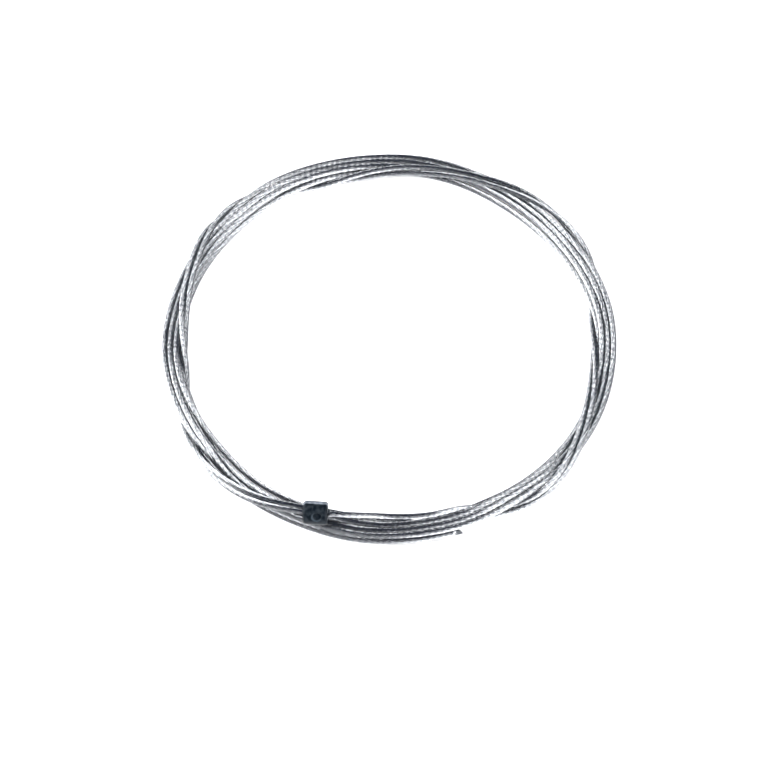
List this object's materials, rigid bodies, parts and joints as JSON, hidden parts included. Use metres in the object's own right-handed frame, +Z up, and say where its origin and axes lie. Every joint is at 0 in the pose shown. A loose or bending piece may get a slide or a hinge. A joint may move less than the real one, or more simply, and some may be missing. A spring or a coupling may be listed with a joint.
{
  "type": "shift cable",
  "caption": "Thin stranded steel wire wound into a round coil, with a small dark cast barrel head on one end and a bare cut on the other.",
  "frame": {"origin": "on the surface the coil lies on, under the middle of the coil", "axes": "+Z up along the coil's axis; +X runs to the right and -Y towards the viewer of the picture; the head lies at the front, left of the middle"},
  "size_m": [0.0886, 0.0886, 0.0077],
  "materials": {
    "strand_steel": "drawn stainless wire, bright, fine twisted strand",
    "head_casting": "dark blue-black cast zinc alloy, satin"
  },
  "bodies": {
    "root": {"cable_coil": "strand_steel", "cable_lead": "strand_steel", "cable_head": "head_casting"}
  },
  "joints": []
}
